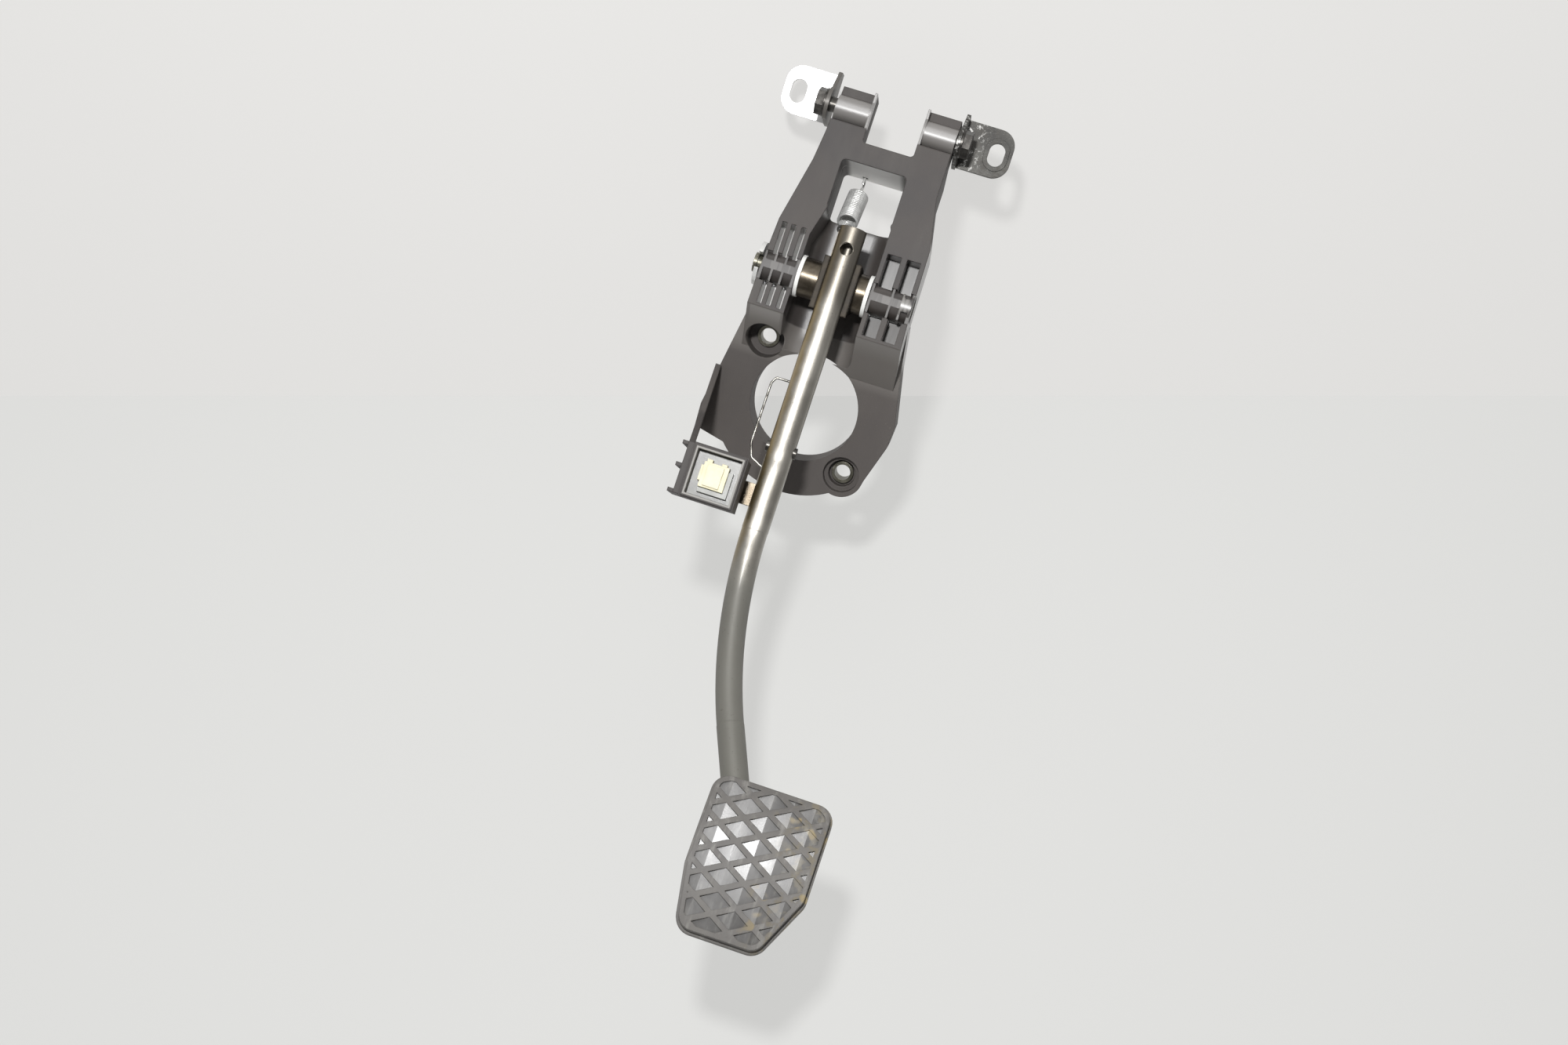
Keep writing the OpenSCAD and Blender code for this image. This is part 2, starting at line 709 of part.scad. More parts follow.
module tread_ribs() {
  columns = ceil(pad_w / cell_w) + 1;
  rows = ceil(pad_h / cell_h) + 1;
  half_w = (cell_w - rib_w * cell_w / cell_h) / 2;
  half_h = (cell_h - rib_w) / 2;
  tread_drop = 4;
  difference() {
    pad_outline(skirt);
    intersection() {
      pad_outline(skirt + 2.4);
      for (c = [-columns : columns], r = [-rows : rows]) if ((c + r) % 2 == 0) {
        translate([c * cell_w / 2, r * cell_h / 2 - tread_drop])
          polygon([[-half_w, 0], [0, half_h], [half_w, 0], [0, -half_h]]);
      }
    }
  }
}

module pad_rubber() {
  color([0.46, 0.45, 0.43]) pad_frame() difference() {
    union() {
      crowned(tread, pad_depth) pad_outline(skirt);
      crowned(0, pad_depth - 2) tread_ribs();
      crowned(tread + 2.6, pad_depth) pad_outline(0);
    }
    front_slab(rubber_back_y - pad_gauge, rubber_back_y) pad_outline(rubber_side + skirt);
    front_slab(rubber_back_y - over, pad_depth + over) pad_outline(rubber_side + skirt + 2.5);
  }
}

// Close coils as one turned body, with a hook at each end.
module return_spring() {
  mean_r = (spring_d - spring_wire) / 2;
  coil_len = (coils - 1) * coil_pitch;
  length = spring_len - hook_r;
  color([0.8, 0.8, 0.79]) translate(lug_eye) rotate([-spring_lean, 0, 0]) {
    translate([0, 0, coil_start]) rotate_extrude() {
      for (i = [0 : coils - 1]) translate([mean_r, i * coil_pitch]) circle(d = spring_wire, $fn = 24);
    }
    for (i = [0 : coils - 2]) translate([0, 0, coil_start + (i + 0.5) * coil_pitch]) rotate_extrude()
      translate([mean_r - spring_wire / 4, -coil_pitch / 2]) square([spring_wire / 2, coil_pitch]);
    wire([[0, 0, 2 * hook_r], [0, 0, coil_start], [mean_r, 0, coil_start]], spring_wire);
    wire([[mean_r, 0, coil_start + coil_len], [0, 0, coil_start + coil_len], [0, 0, length - hook_r]], spring_wire);
    translate([0, 0, hook_r]) rotate([90, 0, 0]) rotate([0, 0, -240]) rotate_extrude(angle = 330)
      translate([hook_r, 0]) circle(d = spring_wire, $fn = 24);
    translate([0, 0, length]) rotate([90, 0, 90]) rotate([0, 0, -90]) rotate_extrude(angle = 330)
      translate([hook_r, 0]) circle(d = spring_wire, $fn = 24);
  }
}

module switch_body() {
  half = switch_w / 2;
  color([0.22, 0.22, 0.23]) difference() {
    union() {
      block([holder_x - half, body_y0, holder_z - half], [holder_x + half, holder_y1 - holder_wall, holder_z + half]);
      translate([holder_x, holder_y1 + 0.5, holder_z]) rotate([90, 0, 0]) cylinder(h = holder_wall + 1, d = neck_d);
    }
    translate([holder_x, holder_y1 + over, holder_z]) rotate([90, 0, 0])
      cylinder(h = holder_wall + over + 14, d = plunger_d + 2 * run_clear);
  }
}

module switch_plunger() {
  length = 9;
  color([0.9, 0.88, 0.8]) translate([holder_x, plunger_tip - 1, holder_z]) rotate([90, 0, 0]) {
    cylinder(h = length - 1, d = plunger_d);
    translate([0, 0, -1]) cylinder(h = 1, d = plunger_d - 1);
  }
}

// Connector at the front of the switch, seen in the mouth of the holder.
module switch_connector() {
  half = connector_w / 2;
  front = holder_y0 + 1.5;
  color([0.93, 0.91, 0.8]) {
    block([holder_x - half, front, holder_z - half], [holder_x + half, body_y0, holder_z + half]);
    block([holder_x - 5.6, front + 0.6, holder_z + half - over], [holder_x - 2.8, body_y0, holder_z + half + 1.6]);
    block([holder_x + 2.2, front + 0.6, holder_z + half - over], [holder_x + 5, body_y0, holder_z + half + 1.2]);
    block([holder_x - half - 1.3, front + 1, holder_z - 3.5], [holder_x - half + over, body_y0, holder_z + 4.5]);
    block([holder_x - 4.5, front - 0.8, holder_z - 5.5], [holder_x + 4, front + over, holder_z + 5.5]);
  }
}

// Sleeve around the connector that locks the switch in its holder.
module switch_lock_sleeve() {
  half = connector_w / 2;
  front = holder_y0 + 3.5;
  color([0.74, 0.75, 0.73]) {
    block([holder_x + half, front, holder_z - half - 2.6], [holder_x + half + 2.4, body_y0, holder_z + half - 2]);
    block([holder_x - half, front, holder_z - half - 2.6], [holder_x + half, body_y0, holder_z - half]);
  }
}

pedal_bracket();
left_mount_tab();
right_mount_tab();
left_tab_bolt();
right_tab_bolt();
left_ear_insert();
right_ear_insert();
upper_stud_sleeve();
lower_stud_sleeve();
pivot_pin();
pivot_clip();
left_bush();
right_bush();
pivot_tube();
pedal_arm();
left_saddle_plate();
right_saddle_plate();
spring_lug();
switch_tab();
pushrod_pin();
wire_clip();
pad_plate();
pad_rubber();
return_spring();
switch_body();
switch_connector();
switch_lock_sleeve();
switch_plunger();
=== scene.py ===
import math

import bmesh
import bpy
from mathutils import Matrix, Vector


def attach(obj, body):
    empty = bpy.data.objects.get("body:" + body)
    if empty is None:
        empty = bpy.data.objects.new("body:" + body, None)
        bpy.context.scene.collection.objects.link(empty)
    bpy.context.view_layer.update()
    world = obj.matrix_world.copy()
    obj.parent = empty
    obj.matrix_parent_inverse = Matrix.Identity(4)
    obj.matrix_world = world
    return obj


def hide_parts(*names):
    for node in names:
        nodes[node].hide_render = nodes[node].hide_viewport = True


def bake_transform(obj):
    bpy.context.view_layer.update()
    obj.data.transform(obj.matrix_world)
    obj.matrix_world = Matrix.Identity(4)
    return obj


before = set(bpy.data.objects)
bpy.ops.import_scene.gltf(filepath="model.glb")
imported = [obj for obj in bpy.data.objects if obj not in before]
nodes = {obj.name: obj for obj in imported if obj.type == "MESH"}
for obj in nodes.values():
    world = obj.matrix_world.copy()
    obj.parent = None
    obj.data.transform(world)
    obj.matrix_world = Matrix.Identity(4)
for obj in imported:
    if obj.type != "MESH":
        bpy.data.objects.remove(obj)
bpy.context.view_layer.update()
print("frame loaded:", len(nodes), "nodes")


# ---- shader helpers: one wrapped socket, one node method ----
class Wire:
    def __init__(self, graph, socket):
        self.graph, self.socket = graph, socket

    def __add__(self, other):
        return self.graph.maths("ADD", self, other)

    def __sub__(self, other):
        return self.graph.maths("SUBTRACT", self, other)

    def __rsub__(self, other):
        return self.graph.maths("SUBTRACT", other, self)

    def __mul__(self, other):
        return self.graph.maths("MULTIPLY", self, other)

    __radd__ = __add__
    __rmul__ = __mul__


class Graph:
    def __init__(self, tree):
        self.tree = tree
        tree.nodes.clear()

    def node(self, kind, settings=None, sockets=None):
        made = self.tree.nodes.new(kind)
        for name, value in (settings or {}).items():
            setattr(made, name, value)
        for name, value in (sockets or {}).items():
            socket = made.inputs[name]
            if isinstance(value, Wire):
                self.tree.links.new(value.socket, socket)
            else:
                socket.default_value = value
        return made

    def out(self, kind, name, settings=None, sockets=None):
        return Wire(self, self.node(kind, settings, sockets).outputs[name])

    def maths(self, operation, a, b):
        return self.out("ShaderNodeMath", "Value", {"operation": operation}, {0: a, 1: b})

    def blend(self, factor, first, second):
        sockets = {"Factor": factor, 6: rgba(first), 7: rgba(second)}
        return self.out("ShaderNodeMix", 2, {"data_type": "RGBA"}, sockets)

    def noise(self, at, scale, detail=3.0, rough=0.5):
        sockets = {"Vector": at, "Scale": scale, "Detail": detail, "Roughness": rough}
        return self.out("ShaderNodeTexNoise", "Fac", None, sockets)

    def fade(self, value, low, high):  # 0 below low, 1 above high
        sockets = {"Value": value, "From Min": low, "From Max": high}
        return self.out("ShaderNodeMapRange", "Result", {"interpolation_type": "SMOOTHSTEP"}, sockets)

    def place(self, at, shift=(0, 0, 0), turn=(0, 0, 0), stretch=(1, 1, 1)):
        sockets = {"Vector": at, "Location": shift, "Rotation": turn, "Scale": stretch}
        return self.out("ShaderNodeMapping", "Vector", None, sockets)

    def axis(self, at, name):
        return self.out("ShaderNodeSeparateXYZ", name, None, {"Vector": at})

    def zone(self, at, fades):  # 1 inside, 0 outside; each fade is an axis and where it starts and ends, in metres
        masks = [self.fade(self.axis(at, name), low, high) for name, low, high in fades]
        return math.prod(masks[1:], start=masks[0])


def rgba(colour):
    return (*colour, 1.0) if isinstance(colour, tuple) and len(colour) == 3 else colour


def paint(code):  # a screen colour as linear values
    parts = [int(code[i:i + 2], 16) / 255 for i in (0, 2, 4)]
    return tuple(c / 12.92 if c <= 0.04045 else ((c + 0.055) / 1.055) ** 2.4 for c in parts)


# ---- finishes ----
def finish(name, look, extra=None):
    material = bpy.data.materials.new(name)
    material.use_nodes = True
    graph = Graph(material.node_tree)
    at = graph.out("ShaderNodeTexCoord", "Object")
    blotch = graph.noise(at, look["blotch"], 4.0, 0.55)
    grain = graph.noise(at, look["grain"], 3.0, 0.6)
    colour = graph.blend(graph.fade(blotch, 0.35, 0.68), look["dark"], look["light"])
    rough = look["rough"] + (blotch - 0.5) * look["roughSpread"] + (grain - 0.5) * look["roughGrain"]
    height = grain * look["grainDepth"]
    parts = {"colour": colour, "rough": rough, "height": height, "metal": look["metal"], "coat": 0.0}
    if extra:
        parts.update(extra(graph, at, parts))
    edge = graph.out("ShaderNodeBevel", "Normal", {"samples": 4}, {"Radius": look["edge"]})
    bump = graph.out("ShaderNodeBump", "Normal", None,
                     {"Strength": 1.0, "Distance": 0.001, "Height": parts["height"], "Normal": edge})
    shader = graph.node("ShaderNodeBsdfPrincipled", None, {
        "Base Color": parts["colour"], "Roughness": parts["rough"], "Metallic": parts["metal"],
        "Coat Weight": parts["coat"], "Coat Roughness": look.get("coatRough", 0.1), "Normal": bump,
        "Specular IOR Level": look.get("specular", 0.5)})
    sheet = graph.node("ShaderNodeOutputMaterial")
    graph.tree.links.new(shader.outputs["BSDF"], sheet.inputs["Surface"])
    return material


def scratched(graph, at, parts, stretch, amount, tint):
    lines = graph.noise(graph.place(at, (0.3, 0.1, 0.2), (0.4, 0.2, 0.7), stretch), 900.0, 2.0, 0.5)
    marks = graph.fade(lines, 0.62, 0.7) * graph.fade(graph.noise(at, 60.0, 2.0), 0.42, 0.6)
    return {"colour": graph.blend(marks * amount, parts["colour"], tint),
            "rough": parts["rough"] + marks * 0.12, "height": parts["height"] - marks * 0.03}


mouldZones = {
    "sunk": (("Y", -0.0538, -0.0528), ("Z", 0.026, 0.034), ("Z", 0.094, 0.091)),
    "ears": (("Z", 0.1392, 0.1402), ("Y", -0.0492, -0.0496)),
    "bossBand": (("Z", 0.0472, 0.048), ("Z", 0.0637, 0.0629)),
    "bossFront": (("Y", -0.05398, -0.05404),),
    "bayFloor": (("Y", -0.0412, -0.0404), ("Y", -0.0386, -0.0394), ("Z", 0.034, 0.036)),
    "belowBoss": (("Z", 0.0485, 0.0475),),
    "rightLeg": (("X", -0.002, 0.002),),
    "leftLeg": (("Y", -0.0388, -0.0396), ("X", -0.0398, -0.0393), ("X", -0.0226, -0.0232)),
    "trough": (("X", -0.0225, -0.0215), ("X", 0.0185, 0.0175), ("Z", 0.062, 0.048)),
    "seat": (("Z", 0.034, 0.022), ("Y", -0.062, -0.058)),
    "windowBar": (("Z", 0.1192, 0.1204), ("Z", 0.1228, 0.1216), ("Y", -0.0536, -0.052),
                  ("X", -0.0165, -0.0125), ("X", 0.0168, 0.013)),
    "switchMouth": (("Y", -0.062, -0.064), ("X", -0.0377, -0.0373), ("X", -0.0121, -0.0125),
                    ("Z", -0.0732, -0.0728), ("Z", -0.0476, -0.048)),
    "legFoot": (("Z", 0.0345, 0.0335), ("Y", -0.019, -0.023), ("Z", 0.011, 0.014)),
}
earShine = {"from": 0.1462, "reach": 0.0074, "curve": 54000, "flatFrom": 0.1536, "flatLean": 135}
bossShine = {"middle": 0.0555, "curve": 36000}


def mouldedLook(graph, at, parts):  # glass-filled moulding: matt textured front, smoother ears, bays and trough; painted highlights and reflections on the ears, bosses, bay floors and window bar, painted light on the legs' feet
    zone = {name: graph.zone(at, fades) for name, fades in mouldZones.items()}
    z = graph.axis(at, "Z")
    bosses = zone["bossBand"] * zone["bossFront"]
    rightFloor = zone["bayFloor"] * zone["rightLeg"]
    leftBayLight = zone["sunk"] * zone["leftLeg"] * (1 - zone["bossBand"])
    smooth = graph.maths("MAXIMUM", graph.maths("MAXIMUM", zone["sunk"], zone["ears"]), bosses)
    flow = graph.noise(graph.place(at, stretch=(1, 1, 0.25)), 55.0, 4.0, 0.6)
    brushed = graph.noise(graph.place(at, stretch=(1, 1, 0.12)), 420.0, 3.0, 0.6)
    cells = graph.noise(graph.place(at, stretch=(1, 1, 0.1)), 260.0, 2.0)
    dust = graph.fade(graph.noise(at, 900.0, 2.0, 0.7), 0.68, 0.78) * graph.fade(graph.noise(at, 30.0), 0.45, 0.65)
    # painted reflection tones for the bay floors: pale on the right leg, mid grey on the left
    bayFloorSheen = graph.blend(zone["rightLeg"], paint("a09e9b"), paint("565452"))
    colour = parts["colour"]
    for mask, tone in (
            (graph.fade(flow, 0.4, 0.75) * 0.3, paint("57544f")),
            (zone["seat"] * 0.55, paint("544f4c")),
            # painted reflection: the bay floors lightened in upright streaks, most on the right leg
            (zone["bayFloor"] * (0.3 + graph.fade(brushed, 0.35, 0.65) * 0.4), bayFloorSheen),
            # painted light: the shaded bays of the left leg lightened to pale grey
            (leftBayLight * 0.85, paint("b9b7b4")),
            # painted reflection: the underside of the window bar made near white in its middle
            (zone["windowBar"], paint("f6f5f3")),
            # painted highlight: the ears lightened where their broad shine falls
            (zone["ears"] * 0.65, paint("817e7b")),
            # painted highlights in the cells of the pivot bosses
            (bosses * graph.fade(cells, 0.46, 0.58) * 0.7, paint("8f8c88")),
            (zone["switchMouth"] * 0.8, paint("a3a19c")),
            # painted light: the feet of the legs lightened to lift their shade
            (zone["legFoot"] * 0.8, paint("6a6662")),
            (dust * 0.35, paint("97938b"))):
        colour = graph.blend(mask, colour, tone)
    above = graph.maths("MINIMUM", graph.maths("MAXIMUM", z - earShine["from"], 0.0), earShine["reach"])
    flatTop = graph.maths("MAXIMUM", z - earShine["flatFrom"], 0.0)
    earLean = zone["ears"] * (above * above * earShine["curve"] + flatTop * earShine["flatLean"])
    off = z - bossShine["middle"]
    bossLean = bosses * off * off * bossShine["curve"]
    dull = zone["belowBoss"] * rightFloor * 0.45 + rightFloor * 0.35 + zone["trough"] * 0.7
    return {"colour": colour, "coat": smooth * (0.9 - dull),
            "rough": parts["rough"] - smooth * 0.22 + zone["bayFloor"] * 0.12 + dust * 0.2,
            "height": parts["height"] + earLean - bossLean}


def springLook(graph, at, parts):  # the lower hook and the wire inside the coils are dull
    hook = graph.fade(graph.axis(at, "Z"), 0.0905, 0.0885)
    return {"colour": graph.blend(hook * 0.9, parts["colour"], paint("55534f")), "metal": parts["metal"] + hook * 0.4}


def zincLook(graph, at, parts):
    return scratched(graph, at, parts, (1, 1, 6), 0.6, paint("f4f4f2"))


def litPaleZincLook(graph, at, parts):  # the pale base is a painted reflection of the lamp on the face towards the driver; the leg at the ear gets painted shade
    parts.update(scratched(graph, at, parts, (1, 1, 5), 0.5, paint("d0d0ce")))
    leg = graph.fade(graph.axis(at, "X"), -0.0362, -0.0354)
    return {**parts, "colour": graph.blend(leg, parts["colour"], paint("5e5b57"))}


# painted shade: the dark base is the left tab's zinc in shade; the stains and light scuffs on it are wear
def shadedWornZincLook(graph, at, parts):
    parts.update(scratched(graph, at, parts, (1, 1, 5), 0.6, paint("a9a6a0")))
    stain = graph.fade(graph.noise(at, 140.0, 4.0, 0.65), 0.5, 0.62)
    scuff = graph.fade(graph.noise(at, 420.0, 3.0, 0.7), 0.54, 0.66) * graph.fade(graph.axis(at, "X"), 0.052, 0.044)
    colour = graph.blend(stain * 0.45, parts["colour"], paint("4b4844"))
    return {**parts, "colour": graph.blend(scuff * 0.7, colour, paint("d6d5d2")),
            "rough": parts["rough"] + stain * 0.12 + scuff * 0.1}


arm = {"axisX": 0.0007, "dullFrom": -0.072, "dullBelow": -0.118, "darkFrom": 0.034, "darkAbove": 0.056,
       "leftEdgeGoldShade": (-0.0012, -0.0048), "rightEdgeShade": (0.0028, 0.006), "flatten": 24000,
       "kinkLow": (-0.104, -0.074), "kinkTop": (-0.024, -0.042), "kinkFlatten": 9000, "kinkDents": 2.8}


def lacquerLook(graph, at, parts):  # drawn tube: clear lacquer in the middle, painted shade along both edges with a gold tint on the left, dark at its top, dull grey below as painted shade where the tube turns from the lamp
    z, x = graph.axis(at, "Z"), graph.axis(at, "X")
    # painted shade: below, the tube is given a dull grey in place of the lamp's shine it loses there
    low = graph.fade(z + (graph.noise(at, 40.0) - 0.5) * 0.02, arm["dullFrom"], arm["dullBelow"])
    top = graph.fade(z, arm["darkFrom"], arm["darkAbove"])
    kink = graph.fade(z, *arm["kinkLow"]) * graph.fade(z, *arm["kinkTop"])
    # painted shade along both edges of the tube, with a gold tint on the left
    leftEdgeGoldShade = graph.fade(x + (graph.noise(at, 90.0) - 0.5) * 0.003, *arm["leftEdgeGoldShade"]) * (1 - low)
    rightEdgeShade = graph.fade(x, *arm["rightEdgeShade"]) * (1 - low)
    drawn = graph.noise(graph.place(at, stretch=(1, 1, 0.04)), 1400.0, 2.0, 0.6)
    dents = graph.noise(graph.place(at, stretch=(0.6, 0.6, 1)), 42.0, 1.0)
    specks = graph.fade(graph.noise(at, 700.0, 2.0, 0.6), 0.66, 0.74)
    colour = parts["colour"]
    for mask, tone in ((leftEdgeGoldShade * 0.75, "8d7743"), (top * 0.7, "4f493f"), (rightEdgeShade * 0.25, "5d574d"),
                       (low * 0.92, "62615b"), (specks * 0.35, "4a443a")):
        colour = graph.blend(mask, colour, paint(tone))
    off = x - arm["axisX"]
    flat = off * off * (arm["flatten"] * (1 - low) + kink * arm["kinkFlatten"])  # broadens the streak of light
    return {"colour": colour, "rough": parts["rough"] + low * 0.18 + (drawn - 0.5) * 0.08 + specks * 0.15,
            "height": parts["height"] + drawn * 0.012 + dents * kink * arm["kinkDents"] + flat,
            "coat": 0.7 * (1 - low) * (1 - top * 0.5), "metal": parts["metal"] * (1 - low * 0.8)}


def rubberLook(graph, at, parts):  # worn rubber with ochre dust in the right corners
    x = graph.axis(at, "X")
    dirt = graph.fade(graph.noise(at, 160.0, 4.0, 0.6), 0.5, 0.62) * graph.fade(x, 0.058, 0.078)
    spots = graph.fade(graph.noise(graph.place(at, (0.02, 0, 0.013)), 95.0, 1.0), 0.62, 0.68)
    spots = spots * graph.fade(x, 0.055, 0.07)
    colour = graph.blend(dirt * 0.35, parts["colour"], paint("8a7f63"))
    colour = graph.blend(spots * 0.7, colour, paint("9d8d68"))
    streak = graph.noise(graph.place(at, stretch=(1, 1, 0.2)), 260.0, 3.0, 0.6)
    colour = graph.blend(graph.fade(streak, 0.5, 0.75) * 0.3, colour, paint("a09e98"))
    return {"colour": colour, "rough": parts["rough"] + dirt * 0.2 + spots * 0.3}


shine = {"middleX": 0.0466, "curve": 4200}


def pocketLook(graph, at, parts):  # shine worn into the left and middle pockets, fine upright scratches
    parts.update(rubberLook(graph, at, parts))
    off = graph.axis(at, "X") - shine["middleX"]
    scratch = graph.noise(graph.place(at, stretch=(1, 1, 0.1)), 1500.0, 2.0, 0.6)
    return {**parts, "height": parts["height"] + scratch * 0.03 - off * off * shine["curve"], "coat": 0.8}


finishes = {
    "bracket": {"dark": paint("353130"), "light": paint("403b38"), "blotch": 22.0, "grain": 2600.0, "rough": 0.6,
                "roughSpread": 0.1, "roughGrain": 0.1, "grainDepth": 0.05, "metal": 0.0, "edge": 0.0007,
                "coatRough": 0.34},
    # painted reflection: this pale base stands for the lamp's shine on the left tab
    "litPaleZinc": {"dark": paint("ebebea"), "light": paint("f8f8f7"), "blotch": 70.0, "grain": 1500.0, "rough": 0.42,
                 "roughSpread": 0.14, "roughGrain": 0.1, "grainDepth": 0.03, "metal": 0.3, "edge": 0.0003},
    # painted shade: this dark base stands for the same zinc in shade on the right tab
    "shadedScuffedZinc": {"dark": paint("343331"), "light": paint("484744"), "blotch": 90.0, "grain": 1500.0, "rough": 0.4,
                    "roughSpread": 0.2, "roughGrain": 0.12, "grainDepth": 0.05, "metal": 0.6, "edge": 0.0003},
    "darkBolt": {"dark": paint("363432"), "light": paint("504e4b"), "blotch": 260.0, "grain": 2200.0, "rough": 0.34,
                 "roughSpread": 0.16, "roughGrain": 0.12, "grainDepth": 0.03, "metal": 0.8, "edge": 0.0004},
    "darkSteel": {"dark": paint("454340"), "light": paint("5f5d5a"), "blotch": 200.0, "grain": 1800.0, "rough": 0.32,
                  "roughSpread": 0.14, "roughGrain": 0.1, "grainDepth": 0.02, "metal": 0.85, "edge": 0.0004},
    "greenZinc": {"dark": paint("5f5d53"), "light": paint("807d71"), "blotch": 120.0, "grain": 1800.0, "rough": 0.34,
                  "roughSpread": 0.14, "roughGrain": 0.1, "grainDepth": 0.02, "metal": 0.9, "edge": 0.0004},
    "springZinc": {"dark": paint("c9c9c7"), "light": paint("e2e2e0"), "blotch": 160.0, "grain": 2200.0, "rough": 0.3,
                   "roughSpread": 0.12, "roughGrain": 0.1, "grainDepth": 0.02, "metal": 0.45, "edge": 0.0002},
    "brightClip": {"dark": paint("d0d0ce"), "light": paint("ececea"), "blotch": 160.0, "grain": 2200.0, "rough": 0.34,
                   "roughSpread": 0.12, "roughGrain": 0.1, "grainDepth": 0.02, "metal": 0.4, "edge": 0.0003},
    "clipZinc": {"dark": paint("4a4743"), "light": paint("a5a39d"), "blotch": 420.0, "grain": 2200.0, "rough": 0.3,
                 "roughSpread": 0.16, "roughGrain": 0.1, "grainDepth": 0.03, "metal": 0.8, "edge": 0.0002},
    "armSteel": {"dark": paint("938f87"), "light": paint("aca8a0"), "blotch": 45.0, "grain": 1600.0, "rough": 0.38,
                 "roughSpread": 0.1, "roughGrain": 0.08, "grainDepth": 0.02, "metal": 0.92, "edge": 0.0006,
                 "coatRough": 0.24},
    "saddleSteel": {"dark": paint("211e1a"), "light": paint("322d26"), "blotch": 110.0, "grain": 1700.0, "rough": 0.5,
                    "roughSpread": 0.16, "roughGrain": 0.1, "grainDepth": 0.03, "metal": 0.75, "edge": 0.0012},
    "brownSteel": {"dark": paint("463f35"), "light": paint("625b50"), "blotch": 110.0, "grain": 1700.0, "rough": 0.3,
                   "roughSpread": 0.16, "roughGrain": 0.1, "grainDepth": 0.03, "metal": 0.88, "edge": 0.0005},
    "whiteBush": {"dark": paint("dfdfdb"), "light": paint("f1f1ee"), "blotch": 120.0, "grain": 1800.0, "rough": 0.38,
                  "roughSpread": 0.1, "roughGrain": 0.08, "grainDepth": 0.02, "metal": 0.0, "edge": 0.0004},
    "greySwitch": {"dark": paint("62625f"), "light": paint("757571"), "blotch": 120.0, "grain": 2200.0, "rough": 0.3,
                   "roughSpread": 0.12, "roughGrain": 0.1, "grainDepth": 0.04, "metal": 0.0, "edge": 0.0004},
    "creamPlug": {"dark": paint("cfc8a6"), "light": paint("ddd7ba"), "blotch": 130.0, "grain": 2000.0, "rough": 0.45,
                  "roughSpread": 0.1, "roughGrain": 0.08, "grainDepth": 0.03, "metal": 0.0, "edge": 0.0004},
    "greySleeve": {"dark": paint("8d8e8a"), "light": paint("a3a4a0"), "blotch": 130.0, "grain": 2000.0, "rough": 0.4,
                   "roughSpread": 0.1, "roughGrain": 0.08, "grainDepth": 0.03, "metal": 0.0, "edge": 0.0004},
    "rubber": {"dark": paint("565350"), "light": paint("64615d"), "blotch": 60.0, "grain": 1900.0, "rough": 0.56,
               "roughSpread": 0.18, "roughGrain": 0.16, "grainDepth": 0.05, "metal": 0.0, "edge": 0.0006},
    "rubberPocket": {"dark": paint("444240"), "light": paint("545250"), "blotch": 120.0, "grain": 1900.0,
                     "rough": 0.36,
                     "roughSpread": 0.12, "roughGrain": 0.1, "grainDepth": 0.03, "metal": 0.0, "edge": 0.0002,
                     "specular": 0.9, "coatRough": 0.37},
}
extras = {"bracket": mouldedLook, "litPaleZinc": litPaleZincLook, "shadedScuffedZinc": shadedWornZincLook,
          "greenZinc": zincLook, "springZinc": springLook, "armSteel": lacquerLook,
          "rubber": rubberLook, "rubberPocket": pocketLook}
materials = {name: finish(name, look, extras.get(name)) for name, look in finishes.items()}
print("finishes made:", len(materials))

dress = {
    "bracket": ["pedal_bracket"], "litPaleZinc": ["left_mount_tab"], "shadedScuffedZinc": ["right_mount_tab"],
    "darkBolt": ["left_tab_bolt", "right_tab_bolt"],
    "darkSteel": ["left_ear_insert", "right_ear_insert", "pushrod_pin"],
    "greenZinc": ["pivot_pin", "upper_stud_sleeve", "lower_stud_sleeve"],
    "springZinc": ["return_spring"], "brightClip": ["pivot_clip"], "clipZinc": ["wire_clip"],
    "armSteel": ["pedal_arm"],
    "brownSteel": ["pivot_tube", "spring_lug", "switch_tab", "pad_plate"],
    "saddleSteel": ["left_saddle_plate", "right_saddle_plate"],
    "whiteBush": ["left_bush", "right_bush"], "greySwitch": ["switch_body"],
    "creamPlug": ["switch_connector", "switch_plunger"], "greySleeve": ["switch_lock_sleeve"],
    "rubber": ["pad_rubber"],
}
for finishName, nodeNames in dress.items():
    for nodeName in nodeNames:
        mesh = nodes[nodeName].data
        mesh.materials.clear()
        mesh.materials.append(materials[finishName])
print("nodes dressed")


